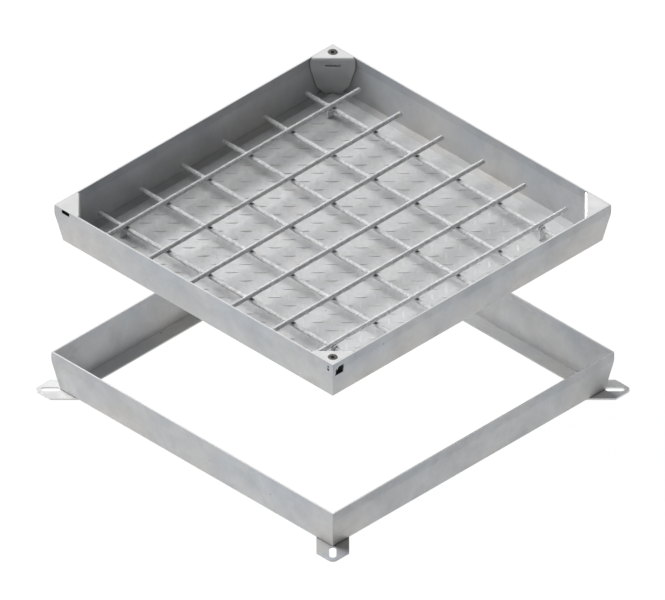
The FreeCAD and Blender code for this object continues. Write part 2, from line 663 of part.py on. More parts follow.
def nut_plate(corner):
    """Shelf behind the gusset that carries the nut, with a tab in the gusset's slot."""
    body = new_body(f"nut_plate_{corner}")
    sketch = new_sketch(body, "outline", "XY_Plane")
    tab = "(Sizes.tab_width / 2)"
    tip = f"{GUSSET_FACE} + Sizes.tab_recess"
    back = f"({GUSSET_BACK} + Sizes.corner_fit)"
    apex = f"({WALL_CORNER} - sqrt(2) * Sizes.corner_fit)"
    nose = f"({SCREW_AXIS} + Sizes.nut_plate_nose)"
    half = "(Sizes.nut_plate_width / 2)"
    draw_outline(sketch, [
        (tip, f"-{tab}"),
        (back, f"-{tab}"),
        (f"{apex} - {half}", f"-{half}"),
        (nose, f"-({apex} - {nose})"),
        (nose, f"{apex} - {nose}"),
        (f"{apex} - {half}", half),
        (back, tab),
        (tip, tab),
    ])
    draw_circle(sketch, SCREW_AXIS, "0", "Sizes.nut_plate_hole / 2")
    pad(body, sketch, "Sizes.nut_plate_sheet")
    place(body, f"{TRAY_BASE} + {NUT_PLATE_LEVEL} - Sizes.nut_plate_sheet / 2", CORNER_ANGLES[corner])
    return body


def draw_hexagon(sketch, flats):
    """Draws a hexagon about the sketch's origin, two of its corners on the first axis."""
    side = f"({flats} / sqrt(3))"
    half = f"({flats} / 2)"
    draw_outline(sketch, [
        (side, "0"),
        (f"{side} / 2", half),
        (f"-{side} / 2", half),
        (f"-{side}", "0"),
        (f"-{side} / 2", f"-{half}"),
        (f"{side} / 2", f"-{half}"),
    ])


def screw(corner):
    """Countersunk screw with a hexagon socket, its head flush with the rim."""
    body = new_body(f"screw_{corner}")
    half_section = new_sketch(body, "half_section", "XZ_Plane")
    shank = "Sizes.screw_diameter / 2"
    neck = "-(Sizes.screw_head - Sizes.screw_diameter) / 2"
    draw_outline(half_section, [
        ("0", "0"),
        ("Sizes.screw_head / 2", "0"),
        (shank, neck),
        (shank, "-Sizes.screw_length"),
        ("0", "-Sizes.screw_length"),
    ])
    turned = body.newObject("PartDesign::Revolution", f"{body.Name}_turned")
    turned.Profile = half_section
    turned.ReferenceAxis = (half_section, ["V_Axis"])
    turned.Angle = FULL_TURN
    doc.recompute()
    socket = new_sketch(body, "socket", "XY_Plane")
    draw_hexagon(socket, "Sizes.screw_socket")
    cut_to_depth(body, socket, "Sizes.socket_depth")
    put_on_screw_axis(body, f"{TRAY_BASE} + {TRAY_HEIGHT}", corner)
    return body


def put_on_screw_axis(thing, level, corner):
    """Places a piece that is modelled about its own axis on the screw's axis."""
    place(thing, level, CORNER_ANGLES[corner])
    bind(thing, "Placement.Base.x", f"{SCREW_AXIS} * cos({CORNER_ANGLES[corner]})")
    bind(thing, "Placement.Base.y", f"{SCREW_AXIS} * sin({CORNER_ANGLES[corner]})")


def nut(corner):
    """Nut welded under the nut plate."""
    body = new_body(f"nut_{corner}")
    sketch = new_sketch(body, "outline", "XY_Plane")
    draw_hexagon(sketch, "Sizes.nut_flats")
    draw_circle(sketch, "0", "0", "Sizes.screw_diameter / 2 + Sizes.screw_play")
    pad(body, sketch, "Sizes.nut_height")
    level = f"{TRAY_BASE} + {NUT_PLATE_LEVEL} - Sizes.nut_plate_sheet / 2 - Sizes.nut_height"
    put_on_screw_axis(body, level, corner)
    return body


def build():
    """Every piece of the cover."""
    pieces = [frame_rail(side) for side in SIDE_ANGLES]
    pieces += [lug(corner) for corner in CORNER_ANGLES]
    pieces += [tray_wall(side) for side in SIDE_ANGLES]
    pieces.append(tear_plate())
    pieces += mesh()
    pieces.append(mesh_clip("front", 1, -1))
    pieces.append(mesh_clip("right", 1, 1))
    pieces.append(mesh_clip("back", -1, 1))
    pieces.append(mesh_clip("left", -1, -1))
    pieces += [corner_plate(corner) for corner in CORNER_ANGLES]
    for corner in SCREWED:
        pieces += [nut_plate(corner), screw(corner), nut(corner)]
    doc.recompute()
    return pieces


def check(pieces):
    """Stops if any object failed, or any piece has no sound shape."""
    for item in doc.Objects:
        if any(word in item.State for word in ("Invalid", "Error")):
            raise ValueError(f"{item.Name} failed: {item.State}")
    for piece in pieces:
        if piece.Shape.isNull() or not piece.Shape.isValid() or len(piece.Shape.Solids) != 1:
            raise ValueError(f"{piece.Label} has no sound solid")


def write(pieces):
    """Writes each piece to its own file."""
    os.makedirs("parts", exist_ok=True)
    for piece in pieces:
        piece.Shape.exportStep(f"parts/{piece.Label}.step")
        print(f"{piece.Label}: {piece.Shape.Volume:.0f} mm3")


all_pieces = build()
check(all_pieces)
write(all_pieces)
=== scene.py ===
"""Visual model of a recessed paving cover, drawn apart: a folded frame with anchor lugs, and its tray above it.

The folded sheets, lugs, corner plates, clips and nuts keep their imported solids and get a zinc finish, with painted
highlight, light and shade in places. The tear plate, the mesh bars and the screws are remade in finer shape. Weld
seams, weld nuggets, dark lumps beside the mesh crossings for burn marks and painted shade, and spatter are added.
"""

import logging
import math
import random
from collections.abc import Callable, Iterable, Iterator, Sequence
from dataclasses import dataclass, field, replace
from enum import Enum
from functools import cache

import bmesh
import bpy
from mathutils import Matrix, Vector


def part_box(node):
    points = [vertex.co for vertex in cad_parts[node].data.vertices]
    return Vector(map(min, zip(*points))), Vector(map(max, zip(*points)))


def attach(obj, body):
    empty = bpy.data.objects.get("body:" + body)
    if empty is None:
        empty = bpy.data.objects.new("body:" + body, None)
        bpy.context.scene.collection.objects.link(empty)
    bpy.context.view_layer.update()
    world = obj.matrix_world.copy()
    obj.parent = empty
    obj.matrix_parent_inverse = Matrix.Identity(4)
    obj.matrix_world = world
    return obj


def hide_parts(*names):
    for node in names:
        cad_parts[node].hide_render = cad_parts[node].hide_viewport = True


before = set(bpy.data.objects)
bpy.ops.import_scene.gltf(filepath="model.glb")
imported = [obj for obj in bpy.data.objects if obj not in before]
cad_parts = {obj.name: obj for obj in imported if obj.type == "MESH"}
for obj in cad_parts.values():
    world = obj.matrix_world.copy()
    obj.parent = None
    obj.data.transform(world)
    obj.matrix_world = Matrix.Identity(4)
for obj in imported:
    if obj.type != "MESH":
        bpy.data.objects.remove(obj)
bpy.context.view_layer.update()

BODY = "root"
LOG = logging.getLogger("paving_cover")
SCENE = bpy.context.scene

Colour = tuple[float, float, float]
Range = tuple[float, float]
Ring = Callable[[float], tuple[float, float]]
Shape = bmesh.types.BMesh
Socket = bpy.types.NodeSocket
Sockets = bpy.types.bpy_prop_collection
Node = bpy.types.Node
NodeTree = bpy.types.NodeTree

# Levels of the two rims
FRAME_RIM = 0.081
TRAY_RIM = 0.3896

# Tones of the painted rim highlight, of the pale blend, of the painted shade on opening floors, of scratches and
# specks, and of the painted shade in crevices
RIM_HIGHLIGHT_TONE: Colour = (0.77, 0.77, 0.77)
PALE_TONE: Colour = (0.9, 0.9, 0.9)
OPENING_SHADE_TONE: Colour = (0.02, 0.02, 0.02)
SCRATCH_TONE: Colour = (0.12, 0.12, 0.12)
SPECK_TONE: Colour = (0.05, 0.05, 0.05)
CREVICE_SHADE_TONE: Colour = (0.03, 0.03, 0.03)


class Slot(Enum):
    """Material slots of the record."""

    FRAME_SHEET = "frame_sheet"
    LUG_SHEET = "lug_sheet"
    TRAY_SHEET = "tray_sheet"
    TEAR_PLATE = "tear_plate"
    MESH_BAR = "mesh_bar"
    CLIP_STRIP = "clip_strip"
    CORNER_SHEET = "corner_sheet"
    FASTENER_STEEL = "fastener_steel"


class Side(Enum):
    """Sides of frame and tray, each with the angle of its outward direction."""

    FRONT_RIGHT = 0.0
    BACK_RIGHT = 90.0
    BACK_LEFT = 180.0
    FRONT_LEFT = -90.0


class Corner(Enum):
    """Corners of frame and tray, each with the angle of its diagonal."""

    FRONT = -45.0
    RIGHT = 45.0
    BACK = 135.0
    LEFT = -135.0


# Corners whose plate is screwed down
SCREWED = (Corner.FRONT, Corner.BACK)


class BarRun(Enum):
    """The two layers of the mesh: upper bars run along Y, cross bars along X."""

    TOP = "top"
    CROSS = "cross"


# Node trees


@dataclass
class NodeDesk:
    """Adds and joins the nodes of one tree."""

    tree: NodeTree

    def add(self, kind: str, settings: dict | None = None, values: dict | None = None) -> Node:
        """Adds a node.

        Args:
            kind: Blender's name of the node type.
            settings: properties of the node itself.
            values: values of its unlinked inputs, by name or number.

        Returns:
            The new node.
        """
        node = self.tree.nodes.new(kind)
        for name, value in (settings or {}).items():
            setattr(node, name, value)
        for name, value in (values or {}).items():
            node.inputs[name].default_value = value
        return node

    def join(self, source: Socket, target: Socket) -> None:
        """Links an output to an input."""
        self.tree.links.new(source, target)

    def feed(self, value: object, target: Socket) -> None:
        """Links an output to an input, or gives the input a number or a colour.

        Args:
            value: a socket, a number or a colour.
            target: the input.
        """
        if isinstance(value, Socket):
            self.join(value, target)
        else:
            target.default_value = (*value, 1.0) if isinstance(value, tuple) else value

    def math(self, operation: str, first: object, second: object = 0.0, clamp: bool = False) -> Socket:
        """Adds a math node.

        Args:
            operation: what the node works out.
            first: a socket or a number.
            second: a socket or a number.
            clamp: whether the result is kept between 0 and 1.

        Returns:
            The node's output.
        """
        node = self.add("ShaderNodeMath", {"operation": operation, "use_clamp": clamp})
        self.feed(first, node.inputs[0])
        self.feed(second, node.inputs[1])
        return node.outputs[0]

    def blend(self, factor: object, first: object, second: object, mode: str = "MIX") -> Socket:
        """Adds a colour mix node, whose colours are its inputs 6 and 7 and its output 2.

        Args:
            factor: a socket or a number.
            first: a colour socket or a colour.
            second: a colour socket or a colour.
            mode: how the two are mixed.

        Returns:
            The mixed colour's output.
        """
        node = self.add("ShaderNodeMix", {"data_type": "RGBA", "blend_type": mode})
        for index, value in ((0, factor), (6, first), (7, second)):
            self.feed(value, node.inputs[index])
        return node.outputs[2]

    def spread(self, value: Socket, low: float, high: float, to_low: float = 0.0, to_high: float = 1.0) -> Socket:
        """Stretches a value from one range to another, clamped.

        Args:
            value: the socket to stretch.
            low: where the first range starts.
            high: where the first range ends.
            to_low: the result at its start.
            to_high: the result at its end.

        Returns:
            The stretched value's output.
        """
        node = self.add("ShaderNodeMapRange", None, {1: low, 2: high, 3: to_low, 4: to_high})
        self.join(value, node.inputs[0])
        return node.outputs[0]

    def noise(self, place: Socket, scale: object, output: str = "Fac", **values: float) -> Socket:
        """Adds a noise texture.

        Args:
            place: where the texture is read.
            scale: a socket or a number.
            output: name of the output that is wanted.
            values: its other inputs, by name.

        Returns:
            That output.
        """
        node = self.add("ShaderNodeTexNoise", None, values)
        self.join(place, node.inputs["Vector"])
        self.feed(scale, node.inputs["Scale"])
        return node.outputs[output]

    def split(self, kind: str, whole: Socket) -> Sockets:
        """Takes a vector or a colour apart.

        Args:
            kind: XYZ for a vector, Color for a colour.
            whole: the socket to take apart.

        Returns:
            The outputs of its parts.
        """
        node = self.add(f"ShaderNodeSeparate{kind}")
        self.join(whole, node.inputs[0])
        return node.outputs

    def effect(self, group: NodeTree, position: Socket, values: dict[str, float]) -> Sockets:
        """Adds a node group that reads a position.

        Args:
            group: the group.
            position: Object coordinates.
            values: its other inputs, by name.

        Returns:
            The group's outputs.
        """
        node = self.add("ShaderNodeGroup", {"node_tree": group}, values)
        self.join(position, node.inputs["Position"])
        return node.outputs


GroupStart = tuple[NodeDesk, Sockets, Sockets]


def new_group(name: str, inputs: dict[str, float], outputs: Sequence[str], placed: bool = True) -> GroupStart:
    """Starts a shader node group whose other sockets are numbers.

    Args:
        name: the group's name.
        inputs: value of each number input, by name.
        outputs: name of each output.
        placed: whether the group also reads a position.

    Returns:
        A desk to build it on, what it is given and what it puts out.
    """
    group = bpy.data.node_groups.new(name, "ShaderNodeTree")
    if placed:
        group.interface.new_socket(name="Position", in_out="INPUT", socket_type="NodeSocketVector")
    for label, value in inputs.items():
        group.interface.new_socket(name=label, in_out="INPUT", socket_type="NodeSocketFloat").default_value = value
    for label in outputs:
        group.interface.new_socket(name=label, in_out="OUTPUT", socket_type="NodeSocketFloat")
    desk = NodeDesk(group)
    return desk, desk.add("NodeGroupInput").outputs, desk.add("NodeGroupOutput").inputs


# Effects: node groups, each built once and shared by the finishes


@cache
def zinc_bloom() -> NodeTree:
    """Cloudy patches of a hot-dipped zinc coat.

    Returns:
        A group that puts out a mask of pale and dull patches, and a second one of bluish and warm patches.
    """
    fine_ratio, fine_share, tint_ratio = 3.7, 0.32, 0.55
    bloom_range, tint_range = (0.36, 0.64), (0.38, 0.62)
    desk, given, result = new_group("zinc_bloom", {"Patch Size": 0.04, "Shift": 0.0}, ("Bloom", "Warmth"))
    scale = desk.math("DIVIDE", 1.0, given["Patch Size"])
    shifted = desk.add("ShaderNodeVectorMath", {"operation": "ADD"})
    desk.join(given["Position"], shifted.inputs[0])
    desk.join(given["Shift"], shifted.inputs[1])
    place = shifted.outputs[0]
    broad = desk.noise(place, scale, Detail=3.0, Roughness=0.55, Distortion=0.6)
    fine_scale = desk.math("MULTIPLY", scale, fine_ratio)
    fine = desk.noise(place, fine_scale, Detail=4.0, Roughness=0.65, Distortion=1.2)
    mixed = desk.math("ADD", desk.math("MULTIPLY", broad, 1.0 - fine_share), desk.math("MULTIPLY", fine, fine_share))
    desk.join(desk.spread(mixed, *bloom_range), result["Bloom"])
    tint_scale = desk.math("MULTIPLY", scale, tint_ratio)
    tint = desk.noise(place, tint_scale, Detail=2.0, Roughness=0.5, Distortion=0.3)
    desk.join(desk.spread(tint, *tint_range), result["Warmth"])
    return desk.tree


@cache
def zinc_spangle() -> NodeTree:
    """Faint crystal grains of the zinc.

    Returns:
        A group that puts out a mask with one value for each grain.
    """
    warp_scale, push = 90.0, 0.006
    desk, given, result = new_group("zinc_spangle", {"Grain Size": 0.008}, ("Grain",))
    scale = desk.math("DIVIDE", 1.0, given["Grain Size"])
    warp = desk.noise(given["Position"], warp_scale, "Color", Detail=2.0)
    pushed = desk.add("ShaderNodeVectorMath", {"operation": "MULTIPLY_ADD"}, {1: (push, push, push)})
    desk.join(warp, pushed.inputs[0])
    desk.join(given["Position"], pushed.inputs[2])
    cells = desk.add("ShaderNodeTexVoronoi", {"feature": "SMOOTH_F1"}, {"Smoothness": 0.35})
    desk.join(pushed.outputs[0], cells.inputs["Vector"])
    desk.join(scale, cells.inputs["Scale"])
    desk.join(desk.split("Color", cells.outputs["Color"])[0], result["Grain"])
    return desk.tree


@cache
def dirt_specks() -> NodeTree:
    """Small dark specks and short scratches of handled sheet.

    Returns:
        A group that puts out the specks' mask and the scratches' mask.
    """
    largest_speck, scratch_range = 0.07, (0.62, 0.74)
    desk, given, result = new_group("dirt_specks", {"Spacing": 0.03, "Share": 0.35}, ("Speck", "Scratch"))
    scale = desk.math("DIVIDE", 1.0, given["Spacing"])
    cells = desk.add("ShaderNodeTexVoronoi", None, {"Randomness": 1.0})
    desk.join(given["Position"], cells.inputs["Vector"])
    desk.join(scale, cells.inputs["Scale"])
    parts = desk.split("Color", cells.outputs["Color"])
    chosen = desk.math("LESS_THAN", parts[0], given["Share"])
    size = desk.math("MULTIPLY", parts[1], largest_speck)
    near = desk.math("LESS_THAN", cells.outputs["Distance"], size)
    desk.join(desk.math("MULTIPLY", chosen, near), result["Speck"])
    drawn = desk.add("ShaderNodeMapping", None, {"Scale": (40.0, 620.0, 300.0), "Rotation": (0.0, 0.0, 0.5)})
    desk.join(given["Position"], drawn.inputs["Vector"])
    lines = desk.noise(drawn.outputs[0], 1.0, Detail=2.0, Distortion=1.4)
    desk.join(desk.spread(lines, *scratch_range), result["Scratch"])
    return desk.tree


@cache
def sheet_relief() -> NodeTree:
    """Height of the coat: soft orange peel with finer grain on it.

    Returns:
        A group that puts out a height in metres.
    """
    fine_ratio, fine_share = 8.0, 0.15
    desk, given, result = new_group("sheet_relief", {"Peel Size": 0.012, "Peel Height": 0.00006}, ("Height",))
    scale = desk.math("DIVIDE", 1.0, given["Peel Size"])
    broad = desk.noise(given["Position"], scale, Detail=2.0, Roughness=0.5)
    fine_scale = desk.math("MULTIPLY", scale, fine_ratio)
    fine = desk.noise(given["Position"], fine_scale, Detail=3.0, Roughness=0.6)
    height = desk.math("ADD", broad, desk.math("MULTIPLY", fine, fine_share))
    desk.join(desk.math("MULTIPLY", height, given["Peel Height"]), result["Height"])
    return desk.tree


@cache
def drain_and_shade_tone() -> NodeTree:
    """A mask up a wall, for the tint of the draining zinc and for painted shade that darkens the upper lip.

    Returns:
        A group that puts out 0 at the foot of the wall and 1 at its rim.
    """
    sway_height = 0.05
    desk, given, result = new_group("drain_and_shade_tone", {"Foot": 0.0, "Rim": 0.08}, ("Rise",))
    level = desk.split("XYZ", given["Position"])[2]
    drawn = desk.add("ShaderNodeMapping", None, {"Scale": (30.0, 30.0, 6.0)})
    desk.join(given["Position"], drawn.inputs["Vector"])
    runs = desk.noise(drawn.outputs[0], 1.0, Detail=2.0)
    sway = desk.math("MULTIPLY", desk.math("SUBTRACT", runs, 0.5), sway_height)
    waved = desk.math("ADD", level, sway)
    height = desk.math("SUBTRACT", given["Rim"], given["Foot"])
    share = desk.math("DIVIDE", desk.math("SUBTRACT", waved, given["Foot"]), height, clamp=True)
    desk.join(share, result["Rise"])
    return desk.tree


@cache
def rim_painted_highlight() -> NodeTree:
    """Painted highlight: a bright line on the metal at the rim's level, along the rims' top faces.

    Returns:
        A group that puts out 1 at the rim's level and 0 below it.
    """
    highlight_depth = 0.0004
    desk, given, result = new_group("rim_painted_highlight", {"Level": 1.0}, ("Highlight",))
    level = desk.split("XYZ", given["Position"])[2]
    near = desk.math("SUBTRACT", given["Level"], highlight_depth)
    desk.join(desk.math("GREATER_THAN", level, near), result["Highlight"])
    return desk.tree


@cache
def opening_floor_shade() -> NodeTree:
    """Painted shade on the up-facing floors of the openings cut through a leaning or upright wall, drawn almost black.

    Returns:
        A group that puts out 1 on metal that faces up between two levels, else 0.
    """
    facing_up = 0.55
    desk, given, result = new_group("opening_floor_shade", {"Low": 0.0, "High": 1.0}, ("Floor",))
    level = desk.split("XYZ", given["Position"])[2]
    facing = desk.split("XYZ", desk.add("ShaderNodeNewGeometry").outputs["True Normal"])[2]
    above = desk.math("GREATER_THAN", level, given["Low"])
    below = desk.math("LESS_THAN", level, given["High"])
    between = desk.math("MULTIPLY", above, below)
    upward = desk.math("GREATER_THAN", facing, facing_up)
    desk.join(desk.math("MULTIPLY", between, upward), result["Floor"])
    return desk.tree


@cache
def crevice_painted_shade() -> NodeTree:
    """Painted shade in gaps, holes and inner corners, found by ambient occlusion.

    Returns:
        A group that puts out a mask, 0 on open metal and 1 deep in a gap.
    """
    open_sky, deep_sky = 0.78, 0.30
    desk, given, result = new_group("crevice_painted_shade", {"Reach": 0.003}, ("Depth",), placed=False)
    look = desk.add("ShaderNodeAmbientOcclusion", {"samples": 4})
    desk.join(given["Reach"], look.inputs["Distance"])
    desk.join(desk.spread(look.outputs["AO"], open_sky, deep_sky), result["Depth"])
    return desk.tree


@dataclass(frozen=True)
class ZincFinish:
    """A hot-dipped zinc coat on one kind of steel, with the painted highlight, light and shade that its fields ask for.
    """

    slot: Slot
    dull: Colour
    pale: Colour
    cool: Colour = (0.94, 0.985, 1.04)
    warm: Colour = (1.03, 1.0, 0.965)
    patch_size: float = 0.045
    grain_size: float = 0.009
    grain_share: float = 0.10
    speck_spacing: float = 0.03
    speck_share: float = 0.25
    speck_depth: float = 0.55
    scratch_depth: float = 0.06
    peel_size: float = 0.012
    peel_height: float = 0.00005
    smooth_roughness: float = 0.42
    rough_roughness: float = 0.60
    metallic: float = 0.35
    specular: float = 0.5
    # levels and share of the draining tint, which on frame and tray also paints shade on the upper lip
    drain_and_shade_foot: float = 0.0
    drain_and_shade_rim: float = 0.0
    drain_and_shade_share: float = 0.55
    # level of the painted rim highlight, 0 for none; the painted shade on opening floors stops just below it
    rim_highlight_level: float = 0.0
    # lowest level of the painted shade on opening floors, 0 for none
    shaded_floor_level: float = 0.0
    floor_drop: float = 0.001
    # strength and reach of the painted shade in crevices
    crevice_shade_depth: float = 0.75
    crevice_shade_reach: float = 0.003
    pale_axis: Colour = (1.0, 0.0, 0.0)
    pale_from: float = 0.0
    pale_to: float = 1.0
    pale_depth: float = 0.0
    shift: float = 0.0

    def colour(self, desk: NodeDesk, position: Socket, bloom: Sockets) -> Socket:
        """Mixes the coat's colour, with its painted highlight, light and shade.

        Args:
            desk: the material's tree.
            position: Object coordinates.
            bloom: outputs of the material's bloom.

        Returns:
            The colour's output.
        """
        grain = desk.effect(zinc_spangle(), position, {"Grain Size": self.grain_size})["Grain"]
        share = desk.math("ADD", desk.math("MULTIPLY", bloom["Bloom"], 1.0 - self.grain_share),
                          desk.math("MULTIPLY", grain, self.grain_share))
        warmth = bloom["Warmth"]
        # Draining tint and painted shade: a wall's tone moves from the warm colour at its foot to the cool one at its
        # rim.
        if self.drain_and_shade_rim > self.drain_and_shade_foot:
            drain_and_shade = desk.effect(drain_and_shade_tone(), position, {"Foot": self.drain_and_shade_foot, "Rim": self.drain_and_shade_rim})
            falling = desk.math("SUBTRACT", 1.0, drain_and_shade["Rise"])
            warmth = desk.math("ADD", desk.math("MULTIPLY", warmth, 1.0 - self.drain_and_shade_share),
                               desk.math("MULTIPLY", falling, self.drain_and_shade_share))
        tint = desk.blend(warmth, self.cool, self.warm)
        tone = desk.blend(1.0, desk.blend(share, self.dull, self.pale), tint, "MULTIPLY")
        # Pale blend along one direction: on the tear plate it is painted bounce light, paler towards the +X wall; on
        # the lugs it runs along the diagonal from the front corner to the back one.
        if self.pale_depth > 0.0:
            reach = desk.add("ShaderNodeVectorMath", {"operation": "DOT_PRODUCT"}, {1: self.pale_axis})
            desk.join(position, reach.inputs[0])
            share = desk.spread(reach.outputs["Value"], self.pale_from, self.pale_to, 0.0, self.pale_depth)
            tone = desk.blend(share, tone, PALE_TONE)
        # Painted highlight: metal at the rim's level is blended towards a bright tone.
        if self.rim_highlight_level > 0.0:
            rim_highlight = desk.effect(rim_painted_highlight(), position, {"Level": self.rim_highlight_level})
            tone = desk.blend(rim_highlight["Highlight"], tone, RIM_HIGHLIGHT_TONE)
        # Painted shade: up-facing floors of the wall openings between two levels are drawn almost black.
        if self.shaded_floor_level > 0.0:
            levels = {"Low": self.shaded_floor_level, "High": self.rim_highlight_level - self.floor_drop}
            floor = desk.effect(opening_floor_shade(), position, levels)
            tone = desk.blend(floor["Floor"], tone, OPENING_SHADE_TONE)
        specks = desk.effect(dirt_specks(), position, {"Spacing": self.speck_spacing, "Share": self.speck_share})
        # Scratches and specks are marks on the coat; the mask of crevices is painted shade from ambient occlusion.
        crevice_shade = desk.add("ShaderNodeGroup", {"node_tree": crevice_painted_shade()}, {"Reach": self.crevice_shade_reach})
        for mask, depth, dark in ((specks["Scratch"], self.scratch_depth, SCRATCH_TONE),
                                  (specks["Speck"], self.speck_depth, SPECK_TONE),
                                  (crevice_shade.outputs["Depth"], self.crevice_shade_depth, CREVICE_SHADE_TONE)):
            tone = desk.blend(desk.math("MULTIPLY", mask, depth), tone, dark)
        return tone

    def make(self) -> bpy.types.Material:
        """Builds the material.

        Returns:
            The finished material.
        """
        material = bpy.data.materials.new(f"zinc_{self.slot.value}")
        material.use_nodes = True
        desk = NodeDesk(material.node_tree)
        shader = material.node_tree.nodes["Principled BSDF"]
        shader.inputs["Metallic"].default_value = self.metallic
        shader.inputs["Specular IOR Level"].default_value = self.specular
        position = desk.add("ShaderNodeTexCoord").outputs["Object"]
        bloom = desk.effect(zinc_bloom(), position, {"Patch Size": self.patch_size, "Shift": self.shift})
        desk.join(self.colour(desk, position, bloom), shader.inputs["Base Color"])
        desk.join(desk.spread(bloom["Bloom"], 0.0, 1.0, self.rough_roughness, self.smooth_roughness),
                  shader.inputs["Roughness"])
        peel = {"Peel Size": self.peel_size, "Peel Height": self.peel_height}
        bump = desk.add("ShaderNodeBump", None, {"Strength": 1.0, "Distance": 1.0})
        desk.join(desk.effect(sheet_relief(), position, peel)["Height"], bump.inputs["Height"])
        desk.join(bump.outputs["Normal"], shader.inputs["Normal"])
        return material


# Frame, and tray through replace: the cool colour is darker than the warm one, which paints shade on the upper lip and
# light at the foot.
FRAME_FINISH = ZincFinish(
    Slot.FRAME_SHEET, (0.46, 0.463, 0.466), (0.535, 0.538, 0.541), cool=(0.875, 0.92, 0.975),
    warm=(1.075, 1.045, 1.008), patch_size=0.07, drain_and_shade_foot=0.003, drain_and_shade_rim=FRAME_RIM, rim_highlight_level=FRAME_RIM,
    shift=3.1)
FINISHES = (
    FRAME_FINISH,
    ZincFinish(Slot.LUG_SHEET, (0.47, 0.47, 0.474), (0.535, 0.535, 0.539), patch_size=0.03,
               pale_axis=(-1.0, 1.0, 0.0), pale_from=-0.5, pale_to=-0.2, pale_depth=0.66, shift=5.7),
    # Tray: painted shade on the floors of its wall openings, and deeper painted shade in crevices
    replace(FRAME_FINISH, slot=Slot.TRAY_SHEET, drain_and_shade_foot=0.314, drain_and_shade_rim=0.39, rim_highlight_level=TRAY_RIM,
            shaded_floor_level=0.32, crevice_shade_depth=0.95, shift=1.3),
    # Tear plate: paler towards the +X wall, painted bounce light from that wall
    ZincFinish(Slot.TEAR_PLATE, (0.53, 0.533, 0.536), (0.635, 0.638, 0.641), cool=(0.985, 0.997, 1.01),
               warm=(1.008, 1.0, 0.992), patch_size=0.012, grain_size=0.005, grain_share=0.3, speck_spacing=0.02,
               speck_share=0.6, scratch_depth=0.16, peel_size=0.006, peel_height=0.00008, smooth_roughness=0.62,
               rough_roughness=0.75, metallic=0.1, crevice_shade_depth=0.6, pale_from=0.06, pale_to=0.30,
               pale_depth=0.24, shift=8.2),
    ZincFinish(Slot.MESH_BAR, (0.43, 0.43, 0.434), (0.74, 0.74, 0.745), cool=(0.985, 0.996, 1.01),
               warm=(1.01, 1.0, 0.99), patch_size=0.006, peel_size=0.003, peel_height=0.0003,
               smooth_roughness=0.65, rough_roughness=0.8, metallic=0.0, specular=0.25,
               crevice_shade_depth=0.95, crevice_shade_reach=0.004, shift=2.4),
    ZincFinish(Slot.CLIP_STRIP, (0.50, 0.50, 0.50), (0.68, 0.68, 0.685), patch_size=0.01, peel_size=0.003,
               peel_height=0.00010, metallic=0.15, shift=6.6),
    ZincFinish(Slot.CORNER_SHEET, (0.545, 0.545, 0.547), (0.585, 0.585, 0.587), cool=(0.985, 0.996, 1.01),
               warm=(1.01, 1.0, 0.99), patch_size=0.05, rim_highlight_level=TRAY_RIM, shift=4.9),
    ZincFinish(Slot.FASTENER_STEEL, (0.09, 0.088, 0.084), (0.34, 0.334, 0.32), cool=(0.97, 0.99, 1.0),
               warm=(1.03, 0.99, 0.94), patch_size=0.004, grain_size=0.003, speck_spacing=0.004, peel_size=0.002,
               peel_height=0.00004, smooth_roughness=0.3, rough_roughness=0.55, metallic=0.8, shift=7.3),
)


def bake(shape: Shape, name: str) -> bpy.types.Mesh:
    """Turns a shape into a mesh.

    Args:
        shape: the shape. It is used up.
        name: the mesh's name.

    Returns:
        The new mesh.
    """
    mesh = bpy.data.meshes.new(name)
    shape.to_mesh(mesh)
    shape.free()
    return mesh


@dataclass
class Palette:
    """All finishes, by the record's slot."""

    materials: dict[Slot, bpy.types.Material]

    @classmethod
    def build(cls) -> "Palette":
        """Builds every finish."""
        return cls({finish.slot: finish.make() for finish in FINISHES})

    def finish_piece(self, shape: Shape, name: str, slot: Slot, replaced: Sequence[str] = (),
                     crease: float = 40.0) -> None:
        """Makes a piece from its finished shape and reports it.

        Args:
            shape: the shape, in the row's frame. It is used up.
            name: the piece's name.
            slot: the slot it takes its finish from.
            replaced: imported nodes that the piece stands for.
            crease: edges sharper than this angle, in degrees, stay sharp.
        """
        bmesh.ops.recalc_face_normals(shape, faces=shape.faces)
        mesh = bake(shape, name)
        for polygon in mesh.polygons:
            polygon.use_smooth = True
        mesh.set_sharp_from_angle(angle=math.radians(crease))
        mesh.materials.append(self.materials[slot])
        piece = bpy.data.objects.new(name, mesh)
        SCENE.collection.objects.link(piece)
        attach(piece, BODY)
        if replaced:
            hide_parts(*replaced)
        LOG.info("%s: %d faces", name, len(mesh.polygons))


# Shapes made from rings


def circle_ring(radius: float, height: float) -> Ring:
    """A round ring of one radius at one height."""
    return lambda angle: (radius, height)


def hexagon_ring(flats: float, height: float) -> Ring:
    """A ring that follows a hexagon, given across its flats."""
    sector = math.radians(60.0)
    return lambda angle: (flats / 2 / math.cos((angle % sector) - sector / 2), height)


def settle(verts: Sequence[bmesh.types.BMVert], ring: Ring) -> None:
    """Moves vertices about the Z axis onto a ring.

    Args:
        verts: the vertices.
        ring: gives radius and height for an angle.
    """
    for vert in verts:
        angle = math.atan2(vert.co.y, vert.co.x)
        radius, height = ring(angle)
        vert.co = (radius * math.cos(angle), radius * math.sin(angle), height)


